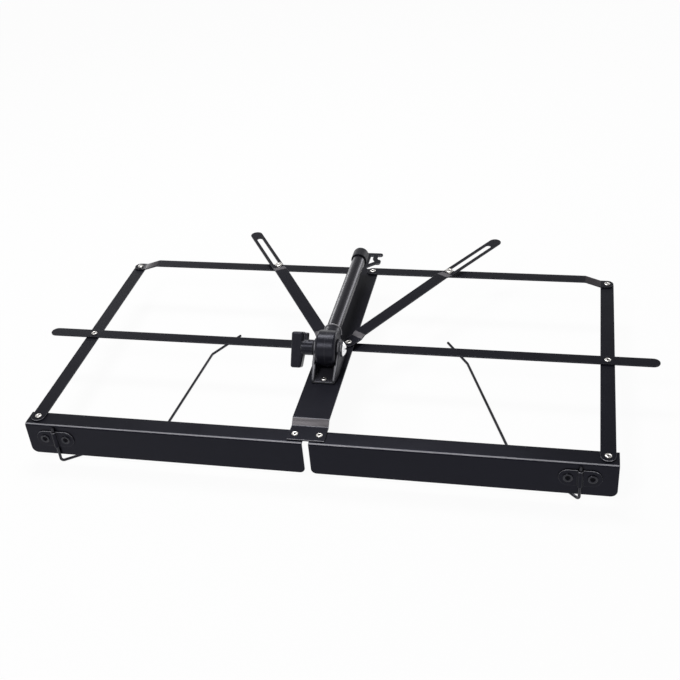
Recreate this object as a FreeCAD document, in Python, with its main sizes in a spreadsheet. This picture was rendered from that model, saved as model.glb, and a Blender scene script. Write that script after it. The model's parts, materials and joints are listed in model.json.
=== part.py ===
import FreeCAD, Part
import Sketcher
import math
import os
import re

# Folding tabletop music stand, lying face down on its two page wires, its leg folded along the spine.
# The desk is laid out about the rivet line of its ledges: x runs along the ledges, y runs from the
# ledges to the top of the desk, and z is height above the top face of the ledge flanges. Each sub-part
# is then placed so that the origin lies under the middle of the stand, on the surface that carries it.

DIMENSIONS = {
    # Plan of the desk
    "ledge_end": 241.5,
    "ledge_gap": 5.0,
    "corner_inset": 8.5,
    "pivot_spacing": 20.0,
    "cross_bar_distance": 123.0,
    "top_bar_distance": 246.5,
    "slide_reach": 75.0,
    # Ledges
    "ledge_sheet": 1.0,
    "ledge_front": 9.7,
    "ledge_back": 6.4,
    "ledge_wall": 30.8,
    "ledge_bend": 2.0,
    "ledge_outer_corner": 5.5,
    "ledge_inner_corner": 4.5,
    # Flat bars
    "bar_sheet": 1.2,
    "outer_bar_width": 12.0,
    "cross_bar_width": 11.6,
    "cross_bar_tip": 37.2,
    "top_bar_width": 11.6,
    "top_step_start": 20.0,
    "top_step_run": 14.0,
    # Slotted braces
    "brace_width": 12.0,
    "brace_lift": 1.2,
    "brace_rise": 3.0,
    "brace_step_run": 4.7,
    "brace_drop_run": 8.0,
    "brace_foot": 10.6,
    "brace_slot_lead": 5.4,
    "brace_tip_margin": 11.0,
    "slot_width": 5.3,
    "slot_play": 1.7,
    "slot_near_play": 2.0,
    "slot_far_play": 5.4,
    "fold_clearance": 0.2,
    # Spine
    "spine_width": 30.6,
    "spine_sheet": 1.4,
    "spine_tab": 7.0,
    "joggle_start": 10.3,
    "joggle_run": 5.0,
    "joggle_rise": 4.5,
    "spine_margin": 6.0,
    "spine_corner": 5.0,
    "head_stem": 5.4,
    "head_root_rise": 4.0,
    "head_lobe_reach": 11.1,
    "head_lobe_rise": 14.0,
    "head_lobe_diameter": 6.2,
    "head_lobe_stretch": 2.6,
    "head_neck_reach": 7.6,
    "head_neck_rise": 20.0,
    "head_bar_reach": 11.4,
    "head_bar_rise": 28.0,
    "head_bar_width": 6.0,
    "head_strip": 4.6,
    # Rivets
    "rivet_shank": 3.0,
    "rivet_play": 0.05,
    "rivet_head": 5.4,
    "rivet_crown": 4.2,
    "rivet_head_height": 0.8,
    "rivet_eye": 1.9,
    "rivet_eye_depth": 0.5,
    "rivet_tail": 4.6,
    "rivet_tail_height": 0.6,
    "slide_shank": 1.8,
    "slide_collar": 5.0,
    "slide_head": 7.2,
    "slide_crown": 5.6,
    "spacer_diameter": 8.0,
    # Page wires and their clips
    "wire_diameter": 2.4,
    "wire_play": 0.05,
    "left_wire_inset": 25.2,
    "right_wire_inset": 28.2,
    "wire_top": 2.2,
    "wire_bend": 3.0,
    "wire_curve": 6.0,
    "left_wire_drop": 37.4,
    "left_first_run": 91.0,
    "left_second_run": 114.0,
    "left_third_run": 38.6,
    "left_first_angle": 34.8,
    "left_second_angle": 85.7,
    "left_third_angle": 60.7,
    "right_wire_drop": 34.6,
    "right_first_run": 79.0,
    "right_second_run": 123.0,
    "right_third_run": 38.9,
    "right_first_angle": 43.3,
    "right_second_angle": 68.7,
    "right_third_angle": 55.9,
    "clip_length": 32.8,
    "clip_height": 15.4,
    "clip_sheet": 1.0,
    "clip_drop": 13.8,
    "clip_rivet_spacing": 18.4,
    "clip_shank": 3.0,
    "clip_head": 8.0,
    "clip_crown": 6.2,
    "clip_head_height": 1.0,
    "clip_dimple": 4.0,
    "clip_dimple_depth": 0.7,
    "clip_tail_height": 0.7,
    # Clamp bracket
    "bracket_front_margin": 4.3,
    "bracket_back_margin": 4.0,
    "bracket_floor": 1.6,
    "bracket_nose": 19.6,
    "bracket_toe": 1.2,
    "bracket_heel": 6.0,
    "bracket_nose_wall": 2.0,
    "cheek": 2.4,
    "cheek_play": 0.2,
    "boss_diameter": 17.0,
    "head_seat_diameter": 13.6,
    "head_seat": 2.2,
    "front_rivet_gap": 7.2,
    "rear_rivet_gap": 3.2,
    # Tube socket, tube and end cap
    "bolt_distance": 89.0,
    "drum_clearance": 0.4,
    "bolt_diameter": 6.0,
    "bolt_play": 0.05,
    "drum_diameter": 31.0,
    "drum_width": 17.2,
    "drum_edge": 2.4,
    "tube_rise": 3.0,
    "tube_diameter": 12.2,
    "tube_wall": 1.0,
    "tube_length": 145.7,
    "collar_diameter": 14.6,
    "collar_mouth": 22.3,
    "socket_depth": 15.0,
    "cap_diameter": 14.9,
    "cap_length": 13.8,
    "cap_floor": 4.0,
    "cap_edge": 1.2,
    # Bolt head, washer and knob
    "dome_diameter": 12.4,
    "dome_height": 2.6,
    "washer_diameter": 13.0,
    "washer_sheet": 0.8,
    "knob_boss_diameter": 13.4,
    "knob_boss_length": 8.75,
    "wing_lower_arm": 17.8,
    "wing_upper_arm": 13.0,
    "wing_depth": 10.6,
    "wing_end_depth": 9.0,
    "wing_thickness": 11.0,
    "wing_edge": 2.0,
    "wing_turn": 33.0,
    "lug_reach": 3.2,
    "lug_thickness": 7.0,
    "lug_drop": 0.6,
    "nut_width": 10.0,
    "nut_height": 5.0,
    "bolt_tail": 6.0,
}

document = FreeCAD.newDocument("music_stand")
sheet = document.addObject("Spreadsheet::Sheet", "dims")
for row, (alias, size) in enumerate(DIMENSIONS.items(), start=1):
    sheet.set(f"A{row}", alias)
    sheet.set(f"B{row}", str(size))
    sheet.setAlias(f"B{row}", alias)
document.recompute()

# Places that several pieces share, as formulas on the sheet
CORNER_X = "(ledge_end - corner_inset)"
PIVOT_X = "(pivot_spacing / 2)"
INNER_X = "(ledge_gap / 2)"
SPINE_TOP = "(joggle_rise + spine_sheet)"
SPINE_END = "(top_bar_distance + spine_margin)"
CROSS_TOP = "(2 * bar_sheet)"
TOP_BAR_TOP = f"({SPINE_TOP} + bar_sheet)"
BRACE_RUN = f"({TOP_BAR_TOP} + rivet_head_height + fold_clearance)"
BRACE_SLOT = f"({BRACE_RUN} + brace_lift)"
RIVET_HOLE = "(rivet_shank / 2 + rivet_play)"
SIDE_RISE = "(top_bar_distance - cross_bar_distance)"
SLIDE_REST = f"sqrt(slide_reach ^ 2 + {SIDE_RISE} ^ 2)"
SLIDE_FOLDED = f"({SIDE_RISE} + slide_reach)"
BRACE_ANGLE = f"(atan2(slide_reach; {SIDE_RISE}) + asin(slot_play / {SLIDE_REST}))"
SLOT_FAR = f"({SLIDE_FOLDED} + slot_far_play)"
BRACE_TIP = f"({SLOT_FAR} + brace_tip_margin)"
WIRE_HOLE = "(wire_diameter / 2 + wire_play)"
WIRE_Y = f"(ledge_front + {WIRE_HOLE})"
CLIP_FACE = "(ledge_front + clip_sheet)"
STRAP_RADIUS = f"({WIRE_HOLE} + clip_sheet)"
STAND_FRONT = f"({WIRE_Y} + {STRAP_RADIUS})"
STAND_BACK = f"(cross_bar_distance + {BRACE_TIP} * cos({BRACE_ANGLE}) + brace_width / 2)"
ORIGIN_Y = f"(({STAND_FRONT} - {STAND_BACK}) / 2)"
DESK_LEVEL = "(left_wire_drop + wire_diameter / 2)"
FLOOR_TOP = f"({SPINE_TOP} + bracket_floor)"
BOLT_Z = f"({FLOOR_TOP} + drum_clearance + drum_diameter / 2)"
DRUM_FRONT = "(bolt_distance - drum_diameter / 2)"
FRONT_RIVET = f"({DRUM_FRONT} - front_rivet_gap)"
REAR_RIVET = "(bolt_distance + drum_diameter / 2 + rear_rivet_gap)"
BRACKET_FRONT = f"({FRONT_RIVET} - bracket_front_margin)"
BRACKET_BACK = f"({REAR_RIVET} + bracket_back_margin)"
TUBE_Z = f"({BOLT_Z} + tube_rise)"
COLLAR_END = "(bolt_distance + collar_mouth)"
TUBE_START = f"({COLLAR_END} - socket_depth)"
TUBE_END = f"({TUBE_START} + tube_length)"
CAP_END = f"({TUBE_END} + cap_floor)"
CHEEK_IN = "(drum_width / 2 + cheek_play)"
CHEEK_OUT = f"({CHEEK_IN} + cheek)"
HEAD_START = f"({CHEEK_OUT} + head_seat)"
KNOB_START = f"({CHEEK_OUT} + washer_sheet)"
WING_START = f"({KNOB_START} + knob_boss_length)"
WING_FAR = f"({WING_START} + wing_depth)"
BOLT_HOLE = "(bolt_diameter / 2 + bolt_play)"

SIDE_ON = FreeCAD.Placement(FreeCAD.Vector(), FreeCAD.Rotation(FreeCAD.Vector(1, 1, 1), 120))
ALONG_X = FreeCAD.Rotation(FreeCAD.Vector(0, 1, 0), 90)
ALONG_Y = FreeCAD.Rotation(FreeCAD.Vector(1, 0, 0), -90)
nodes = []


def formula(text):
    """The text with each size's name turned into its cell."""
    def cell(word):
        return f"dims.{word[0]}" if word[0] in DIMENSIONS else word[0]

    return re.sub(r"[a-z][a-z_0-9]*", cell, text)


def measure(text):
    """The number that a formula gives now."""
    result = sheet.evalExpression(formula(text))
    return float(getattr(result, "Value", result))


def tie(item, **sizes):
    """Ties properties of an object to formulas on the sheet."""
    for name, text in sizes.items():
        item.setExpression(name, formula(text))
    return item


def put(item, x="0", y="0", z="0", turn=None):
    """Places an object, after turning it, at formulas on the sheet."""
    if turn is not None:
        item.Placement.Rotation = turn
    for axis, text in zip("xyz", (x, y, z)):
        item.setExpression(f"Placement.Base.{axis}", formula(text))
    return item


def block(name, x, y, z):
    """A box between two formulas on each axis."""
    item = document.addObject("Part::Box", name)
    spans = [f"({high}) - ({low})" for low, high in (x, y, z)]
    tie(item, Length=spans[0], Width=spans[1], Height=spans[2])
    return put(item, x[0], y[0], z[0])


def disc(name, radius, x, y, low, high):
    """An upright cylinder."""
    item = tie(document.addObject("Part::Cylinder", name), Radius=radius, Height=f"({high}) - ({low})")
    return put(item, x, y, low)


def rod_x(name, radius, low, high, y, z):
    """A cylinder along x."""
    item = tie(document.addObject("Part::Cylinder", name), Radius=radius, Height=f"({high}) - ({low})")
    return put(item, low, y, z, ALONG_X)


def rod_y(name, radius, low, high, x, z):
    """A cylinder along y."""
    item = tie(document.addObject("Part::Cylinder", name), Radius=radius, Height=f"({high}) - ({low})")
    return put(item, x, low, z, ALONG_Y)


def cone(name, base, top, height):
    """An upright cone frustum, still to be placed."""
    return tie(document.addObject("Part::Cone", name), Radius1=base, Radius2=top, Height=height)


def fuse(name, *items):
    item = document.addObject("Part::MultiFuse", name)
    item.Shapes = list(items)
    item.Refine = True
    return item


def common(name, *items):
    item = document.addObject("Part::MultiCommon", name)
    item.Shapes = list(items)
    return item


def cut(name, base, *tools):
    item = document.addObject("Part::Cut", name)
    item.Base = base
    item.Tool = tools[0] if len(tools) == 1 else fuse(f"{name}_tools", *tools)
    item.Refine = True
    return item


def group(name, *items):
    item = document.addObject("Part::Compound", name)
    item.Links = list(items)
    return item


def draw(sketch, corners):
    """Draws a closed outline whose corners are tied to formulas on the sheet."""
    spots = [FreeCAD.Vector(measure(across), measure(up), 0) for across, up in corners]
    count = len(spots)
    for index, spot in enumerate(spots):
        sketch.addGeometry(Part.LineSegment(spot, spots[(index + 1) % count]), False)
    for index in range(count):
        sketch.addConstraint(Sketcher.Constraint("Coincident", index, 2, (index + 1) % count, 1))
    for index, corner in enumerate(corners):
        for kind, axis, text, number in (
            ("DistanceX", -2, corner[0], spots[index].x),
            ("DistanceY", -1, corner[1], spots[index].y),
        ):
            if text == "0":
                sketch.addConstraint(Sketcher.Constraint("PointOnObject", index, 1, axis))
            else:
                place = sketch.addConstraint(Sketcher.Constraint(kind, -1, 1, index, 1, number))
                sketch.setExpression(f"Constraints[{place}]", formula(text))
    return sketch


def slab(name, plane, corners, width):
    """An outline on a plane through the origin, given an equal thickness to both sides."""
    sketch = document.addObject("Sketcher::SketchObject", f"{name}_outline")
    sketch.Placement = plane
    draw(sketch, corners)
    item = document.addObject("Part::Extrusion", name)
    item.Base = sketch
    item.DirMode = "Normal"
    item.Solid = True
    item.Symmetric = True
    return tie(item, LengthFwd=width)


def strip_y(name, width, low, high, bottom, top, x="0"):
    """A flat strip along y with round ends, whose end radii are centred on low and high."""
    half = f"({width}) / 2"
    middle = block(f"{name}_middle", (f"{x} - {half}", f"{x} + {half}"), (low, high), (bottom, top))
    ends = [disc(f"{name}_end_{index}", half, x, y, bottom, top) for index, y in enumerate((low, high))]
    return fuse(name, middle, *ends)


def strip_between(name, width, start, end, bottom, top):
    """A flat strip with round ends between two points of the plan."""
    across = f"({end[0]}) - ({start[0]})"
    along = f"({end[1]}) - ({start[1]})"
    item = strip_y(name, width, "0", f"sqrt(({across}) ^ 2 + ({along}) ^ 2)", bottom, top)
    put(item, start[0], start[1], "0", FreeCAD.Rotation(FreeCAD.Vector(0, 0, 1), 1))
    return tie(item, **{"Placement.Rotation.Angle": f"-atan2({across}; {along})"})


def bent_profile(levels, sheet_name):
    """The edge-on outline of a bent strip: levels holds (distance, underside) pairs along it."""
    under = list(levels)
    over = [(place, f"({level}) + {sheet_name}") for place, level in reversed(levels)]
    return under + over


def finish(item, label, x="0", y="0", z="0"):
    """Names a finished sub-part and moves it from the desk's layout to the stand's frame."""
    item.Label = label
    put(item, x, f"{y} + {ORIGIN_Y}", f"{z} + {DESK_LEVEL}")
    nodes.append(item)
    return item


def turn_up(item, angle):
    """Turns a finished sub-part about its own upright axis."""
    item.Placement.Rotation = FreeCAD.Rotation(FreeCAD.Vector(0, 0, 1), 1)
    return tie(item, **{"Placement.Rotation.Angle": angle})


def rivet(name, x, y, under, over, kind="rivet"):
    """A rivet through a stack from under to over, with a dished head above and a tail below."""
    body = disc(f"{name}_shank", f"{kind}_shank / 2", x, y, f"({under}) - rivet_tail_height", over)
    tail = disc(f"{name}_tail", "rivet_tail / 2", x, y, f"({under}) - rivet_tail_height", under)
    head = cone(f"{name}_head", f"{kind}_head / 2", f"{kind}_crown / 2", "rivet_head_height")
    put(head, x, y, over)
    crown = f"({over}) + rivet_head_height"
    eye = disc(f"{name}_eye", "rivet_eye / 2", x, y, f"{crown} - rivet_eye_depth", crown)
    return cut(name, fuse(f"{name}_blank", body, tail, head), eye)


def both(maker):
    """Makes a piece for the left and for the right of the stand."""
    for side, sign in (("left", -1), ("right", 1)):
        maker(side, sign)


def signed(sign, text):
    return f"({sign} * {text})"


def wire_place(side, sign):
    """The x of a page wire's upright leg, between its clip's two rivets."""
    return signed(sign, f"(ledge_end - {side}_wire_inset)")


# Spine


def spine_plate():
    levels = [
        ("-spine_tab", "0"),
        ("joggle_start", "0"),
        ("joggle_start + joggle_run", "joggle_rise"),
        (f"{SPINE_END} + head_bar_rise + head_bar_width", "joggle_rise"),
    ]
    folded = slab("spine_folded", SIDE_ON, bent_profile(levels, "spine_sheet"), "2 * spine_width")
    half = "spine_width / 2"
    depth = ("-spine_sheet", f"{SPINE_TOP} + spine_sheet")
    shoulder = f"{SPINE_END} - spine_corner"
    panel = block("spine_panel", (f"-{half}", half), ("-2 * spine_tab", shoulder), depth)
    ends = [
        disc(f"spine_corner_{index}", "spine_corner", f"{sign} * ({half} - spine_corner)", shoulder, *depth)
        for index, sign in enumerate((-1, 1))
    ]
    brow = block("spine_brow", (f"-{half} + spine_corner", f"{half} - spine_corner"),
                 (shoulder, SPINE_END), depth)
    root_y = f"({SPINE_END} + head_root_rise)"
    lobe_y = f"({SPINE_END} + head_lobe_rise)"
    neck_y = f"({SPINE_END} + head_neck_rise)"
    bar_y = f"({SPINE_END} + head_bar_rise)"
    head = [
        block("head_stem", ("-head_stem / 2", "head_stem / 2"), (shoulder, bar_y), depth),
        strip_between("head_bar", "head_bar_width", ("-head_bar_reach", bar_y), ("head_bar_reach", bar_y),
                      *depth),
    ]
    for index, sign in enumerate((-1, 1)):
        spots = [
            ("0", root_y),
            (f"{sign} * head_lobe_reach", lobe_y),
            (f"{sign} * head_neck_reach", neck_y),
            (f"{sign} * head_neck_reach", bar_y),
        ]
        for turn, (start, end) in enumerate(zip(spots, spots[1:])):
            head.append(strip_between(f"head_strand_{index}_{turn}", "head_strip", start, end, *depth))
        lobe_x = spots[1][0]
        head.append(strip_between(f"head_lobe_{index}", "head_lobe_diameter",
                                  (lobe_x, f"{lobe_y} - head_lobe_stretch / 2"),
                                  (lobe_x, f"{lobe_y} + head_lobe_stretch / 2"), *depth))
    plan = fuse("spine_plan", panel, brow, *ends, *head)
    holes = []
    for index, sign in enumerate((-1, 1)):
        for row, y in enumerate(("0", "cross_bar_distance", "top_bar_distance")):
            holes.append(disc(f"spine_hole_{index}_{row}", RIVET_HOLE, f"{sign} * {PIVOT_X}", y, *depth))
    for row, y in enumerate((FRONT_RIVET, REAR_RIVET)):
        holes.append(disc(f"spine_bracket_hole_{row}", RIVET_HOLE, "0", y, *depth))
    finish(cut("spine", common("spine_blank", folded, plan), *holes), "spine_plate")


def spine_rivets():
    stacks = {
        "ledge_pivot_rivets": ("0", "-ledge_sheet", "spine_sheet"),
        "brace_pivot_rivets": ("cross_bar_distance", "bar_sheet", TOP_BAR_TOP),
        "top_bar_pivot_rivets": ("top_bar_distance", "joggle_rise", TOP_BAR_TOP),
    }
    for label, (y, under, over) in stacks.items():
        pair = [
            rivet(f"{label}_{index}", f"{sign} * {PIVOT_X}", y, under, over)
            for index, sign in enumerate((-1, 1))
        ]
        finish(group(label, *pair), label)


def spacer_washers():
    pair = []
    for index, sign in enumerate((-1, 1)):
        x = f"{sign} * {PIVOT_X}"
        y = "cross_bar_distance"
        ring = disc(f"spacer_{index}", "spacer_diameter / 2", x, y, CROSS_TOP, "joggle_rise")
        hole = disc(f"spacer_hole_{index}", RIVET_HOLE, x, y, "0", SPINE_TOP)
        pair.append(cut(f"spacer_ring_{index}", ring, hole))
    finish(group("spacers", *pair), "spacer_washers")


# Ledges and bars


def ledge(side, sign):
    body = document.addObject("PartDesign::Body", f"{side}_ledge_body")
    planes = {plane.Role: plane for plane in body.Origin.OriginFeatures if plane.Role.endswith("Plane")}
    section = body.newObject("Sketcher::SketchObject", f"{side}_ledge_section")
    section.AttachmentSupport = [(planes["YZ_Plane"], "")]
    section.MapMode = "FlatFace"
    tie(section, **{"AttachmentOffset.Base.z": signed(sign, INNER_X)})
    draw(section, [
        ("ledge_back", "0"),
        ("-ledge_front", "0"),
        ("-ledge_front", "-ledge_wall"),
        ("-ledge_front + ledge_sheet", "-ledge_wall"),
        ("-ledge_front + ledge_sheet", "-ledge_sheet"),
        ("ledge_back", "-ledge_sheet"),
    ])
    pad = body.newObject("PartDesign::Pad", f"{side}_ledge_pad")
    pad.Profile = section
    pad.Reversed = sign < 0
    tie(pad, Length=f"ledge_end - {INNER_X}")
    drill = body.newObject("Sketcher::SketchObject", f"{side}_ledge_holes")
    drill.AttachmentSupport = [(planes["XY_Plane"], "")]
    drill.MapMode = "FlatFace"
    for index, x in enumerate((PIVOT_X, CORNER_X)):
        centre = FreeCAD.Vector(sign * measure(x), 0, 0)
        drill.addGeometry(Part.Circle(centre, FreeCAD.Vector(0, 0, 1), measure(RIVET_HOLE)), False)
        drill.addConstraint(Sketcher.Constraint("PointOnObject", index, 3, -1))
        reach = drill.addConstraint(Sketcher.Constraint("DistanceX", -1, 1, index, 3, centre.x))
        drill.setExpression(f"Constraints[{reach}]", formula(signed(sign, x)))
        size = drill.addConstraint(Sketcher.Constraint("Radius", index, measure(RIVET_HOLE)))
        drill.setExpression(f"Constraints[{size}]", formula(RIVET_HOLE))
    pocket = body.newObject("PartDesign::Pocket", f"{side}_ledge_drilled")
    pocket.Profile = drill
    tie(pocket, Length="ledge_sheet")
    document.recompute()
    front = -measure("ledge_front")
    inner = front + measure("ledge_sheet")
    wall_foot = -measure("ledge_wall")

    def corner(feature, label, radius, found):
        names = [
            f"Edge{number}" for number, edge in enumerate(feature.Shape.Edges, start=1)
            if found(edge.BoundBox)
        ]
        fillet = body.newObject("PartDesign::Fillet", f"{side}_ledge_{label}")
        fillet.Base = (feature, names)
        tie(fillet, Radius=radius)
        document.recompute()
        return fillet

    near = 1e-4
    bend_out = corner(pocket, "bend_outside", "ledge_bend", lambda box: (
        box.YLength < near and abs(box.YMin - front) < near
        and abs(box.ZMin) < near and box.ZLength < near))
    bend_in = corner(bend_out, "bend_inside", "ledge_bend - ledge_sheet", lambda box: (
        box.YLength < near and abs(box.YMin - inner) < near
        and abs(box.ZMin + measure("ledge_sheet")) < near and box.ZLength < near))
    for label, radius, x in (("inner_corner", "ledge_inner_corner", INNER_X),
                             ("outer_corner", "ledge_outer_corner", "ledge_end")):
        place = sign * measure(x)
        bend_in = corner(bend_in, label, radius, lambda box: (
            box.XLength < near and abs(box.XMin - place) < near and box.ZLength < near
            and abs(box.ZMin - wall_foot) < near))
    holes = []
    for index, shift in enumerate((-1, 1)):
        x = f"{wire_place(side, sign)} + {shift} * clip_rivet_spacing / 2"
        name = f"{side}_ledge_clip_hole_{index}"
        holes.append(rod_y(name, "clip_shank / 2", f"-{CLIP_FACE}", "0", x, "-clip_drop"))
    finish(cut(f"{side}_ledge_cut", body, *holes), f"{side}_ledge")


def corner_rivet(side, sign):
    item = rivet(f"{side}_corner", f"{sign} * {CORNER_X}", "0", "-ledge_sheet", "bar_sheet")
    finish(item, f"{side}_corner_rivet")


def outer_bar(side, sign):
    bar = strip_y(f"{side}_outer_strip", "outer_bar_width", "0", "top_bar_distance", "0", "bar_sheet")
    holes = [
        disc(f"{side}_outer_hole_{index}", RIVET_HOLE, "0", y, "-bar_sheet", CROSS_TOP)
        for index, y in enumerate(("0", "cross_bar_distance", "top_bar_distance"))
    ]
    finish(cut(f"{side}_outer", bar, *holes), f"{side}_outer_bar", f"{sign} * {CORNER_X}")
    pair = [
        rivet(f"{side}_outer_rivet_{index}", f"{sign} * {CORNER_X}", y, "0", CROSS_TOP)
        for index, y in enumerate(("cross_bar_distance", "top_bar_distance"))
    ]
    finish(group(f"{side}_outer_pair", *pair), f"{side}_outer_bar_rivets")


def cross_bar(side, sign):
    reach = f"{CORNER_X} - {PIVOT_X}"
    bar = strip_y(f"{side}_cross_strip", "cross_bar_width", "0", f"{reach} + cross_bar_tip", "bar_sheet",
                  CROSS_TOP)
    holes = [
        disc(f"{side}_cross_hole_{index}", RIVET_HOLE, "0", y, "0", SPINE_TOP)
        for index, y in enumerate(("0", reach))
    ]
    item = cut(f"{side}_cross", bar, *holes)
    finish(item, f"{side}_cross_bar", f"{sign} * {PIVOT_X}", "cross_bar_distance")
    turn_up(item, f"{-90 * sign}")


def top_bar(side, sign):
    reach = f"({CORNER_X} - {PIVOT_X})"
    levels = [
        ("-top_bar_width", SPINE_TOP),
        (f"{reach} - top_step_start", SPINE_TOP),
        (f"{reach} - top_step_start + top_step_run", "bar_sheet"),
        (f"{reach} + top_bar_width", "bar_sheet"),
    ]
    folded = slab(f"{side}_top_folded", SIDE_ON, bent_profile(levels, "bar_sheet"), "2 * top_bar_width")
    plan = strip_y(f"{side}_top_plan", "top_bar_width", "0", reach, "0", BRACE_SLOT)
    holes = [
        disc(f"{side}_top_hole_{index}", RIVET_HOLE, "0", y, "0", BRACE_SLOT)
        for index, y in enumerate(("0", reach))
    ]
    slide_hole = "slide_shank / 2 + rivet_play"
    holes.append(disc(f"{side}_top_slide_hole", slide_hole, "0", "slide_reach", "0", BRACE_SLOT))
    item = cut(f"{side}_top", common(f"{side}_top_blank", folded, plan), *holes)
    finish(item, f"{side}_top_bar", f"{sign} * {PIVOT_X}", "top_bar_distance")
    turn_up(item, f"{-90 * sign}")


def slide_rivet(side, sign):
    x = f"{sign} * ({PIVOT_X} + slide_reach)"
    over = f"{BRACE_SLOT} + bar_sheet"
    pin = rivet(f"{side}_slide_pin", x, "top_bar_distance", SPINE_TOP, over, "slide")
    collar = disc(f"{side}_slide_collar", "slide_collar / 2", x, "top_bar_distance", TOP_BAR_TOP,
                  BRACE_SLOT)
    finish(fuse(f"{side}_slide", pin, collar), f"{side}_slide_rivet")


def brace(side, sign):
    levels = [
        ("-brace_width", SPINE_TOP),
        ("brace_foot", SPINE_TOP),
        ("brace_foot + brace_step_run", BRACE_RUN),
        (f"{SLIDE_REST} - brace_slot_lead - brace_drop_run", f"{BRACE_RUN} + brace_rise"),
        (f"{SLIDE_REST} - brace_slot_lead", BRACE_SLOT),
        (f"{BRACE_TIP} + brace_width", BRACE_SLOT),
    ]
    folded = slab(f"{side}_brace_folded", SIDE_ON, bent_profile(levels, "bar_sheet"), "2 * brace_width")
    depth = ("0", f"{BRACE_SLOT} + brace_rise + 2 * bar_sheet")
    plan = strip_y(f"{side}_brace_plan", "brace_width", "0", BRACE_TIP, *depth)
    slot_near = f"{SLIDE_REST} - slot_near_play"
    slot = strip_y(f"{side}_brace_slot", "slot_width", slot_near, SLOT_FAR, *depth)
    hole = disc(f"{side}_brace_hole", RIVET_HOLE, "0", "0", *depth)
    item = cut(f"{side}_brace_cut", common(f"{side}_brace_blank", folded, plan), slot, hole)
    finish(item, f"{side}_brace", f"{sign} * {PIVOT_X}", "cross_bar_distance")
    turn_up(item, signed(-sign, BRACE_ANGLE))


# Page wires


def clip(side, sign):
    x = wire_place(side, sign)
    half = "clip_length / 2 - clip_height / 2"
    inner = "-ledge_front"
    plate = block(f"{side}_clip_plate", (f"{x} - ({half})", f"{x} + {half}"), (f"-{CLIP_FACE}", inner),
                  ("-clip_drop - clip_height / 2", "-clip_drop + clip_height / 2"))
    ends = [
        rod_y(f"{side}_clip_end_{index}", "clip_height / 2", f"-{CLIP_FACE}", inner,
              f"{x} + {shift} * ({half})", "-clip_drop")
        for index, shift in enumerate((-1, 1))
    ]
    low = "-clip_drop - clip_height / 2"
    high = "-clip_drop + clip_height / 2"
    strap = disc(f"{side}_clip_strap", STRAP_RADIUS, x, f"-{WIRE_Y}", low, high)
    behind = block(f"{side}_clip_behind", (f"{x} - clip_length", f"{x} + clip_length"), (inner, "0"),
                   ("-ledge_wall", "0"))
    bore = disc(f"{side}_clip_bore", WIRE_HOLE, x, f"-{WIRE_Y}", "-ledge_wall", "0")
    channel = block(f"{side}_clip_channel", (f"{x} - {WIRE_HOLE}", f"{x} + {WIRE_HOLE}"),
                    (f"-{WIRE_Y}", inner), ("-ledge_wall", "0"))
    holes = [
        rod_y(f"{side}_clip_hole_{index}", "clip_shank / 2", f"-{STAND_FRONT}", "0",
              f"{x} + {shift} * clip_rivet_spacing / 2", "-clip_drop")
        for index, shift in enumerate((-1, 1))
    ]
    blank = fuse(f"{side}_clip_blank", plate, *ends, strap)
    finish(cut(f"{side}_clip", blank, behind, bore, channel, *holes), f"{side}_wire_clip")


def clip_rivets(side, sign):
    pair = []
    back = "(-ledge_front + ledge_sheet)"
    for index, shift in enumerate((-1, 1)):
        name = f"{side}_clip_rivet_{index}"
        x = f"{wire_place(side, sign)} + {shift} * clip_rivet_spacing / 2"
        end = f"{back} + clip_tail_height"
        shank = rod_y(f"{name}_shank", "clip_shank / 2", f"-{CLIP_FACE}", end, x, "-clip_drop")
        tail = rod_y(f"{name}_tail", "clip_crown / 2", back, end, x, "-clip_drop")
        head = cone(f"{name}_head", "clip_crown / 2", "clip_head / 2", "clip_head_height")
        put(head, x, f"-{CLIP_FACE} - clip_head_height", "-clip_drop", ALONG_Y)
        dimple = rod_y(f"{name}_dimple", "clip_dimple / 2", f"-{CLIP_FACE} - clip_head_height",
                       f"-{CLIP_FACE} - clip_head_height + clip_dimple_depth", x, "-clip_drop")
        pair.append(cut(name, fuse(f"{name}_blank", shank, tail, head), dimple))
    finish(group(f"{side}_clip_pair", *pair), f"{side}_wire_clip_rivets")


def rounded_path(points, radii):
    """Straight runs through the points, joined by tangent arcs."""
    edges = []
    start = points[0]
    for before, corner_point, after, radius in zip(points, points[1:], points[2:], radii):
        inward = (before - corner_point).normalize()
        outward = (after - corner_point).normalize()
        half_angle = inward.getAngle(outward) / 2
        setback = radius / math.tan(half_angle)
        first = corner_point + inward * setback
        last = corner_point + outward * setback
        bisector = (inward + outward).normalize()
        middle = corner_point + bisector * (radius / math.sin(half_angle) - radius)
        edges.append(Part.LineSegment(start, first).toShape())
        edges.append(Part.Arc(first, middle, last).toShape())
        start = last
    edges.append(Part.LineSegment(start, points[-1]).toShape())
    return Part.Wire(edges)


def page_wire(side, sign):
    leg_x = measure(wire_place(side, sign))
    leg_y = -measure(WIRE_Y)
    drop = -measure(f"{side}_wire_drop")
    points = [FreeCAD.Vector(leg_x, leg_y, -measure("wire_top")), FreeCAD.Vector(leg_x, leg_y, drop)]
    for run in ("first", "second", "third"):
        length = measure(f"{side}_{run}_run")
        angle = math.radians(measure(f"{side}_{run}_angle"))
        step = FreeCAD.Vector(-sign * length * math.cos(angle), length * math.sin(angle), 0)
        points.append(points[-1] + step)
    path = rounded_path(points, [measure("wire_bend"), measure("wire_curve"), measure("wire_curve")])
    ring = Part.Wire(Part.makeCircle(measure("wire_diameter") / 2, points[0], points[1] - points[0]))
    item = document.addObject("Part::Feature", f"{side}_page_wire_shape")
    item.Shape = path.makePipeShell([ring], True, False)
    finish(item, f"{side}_page_wire")


# Clamp bracket, leg and knob


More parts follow.
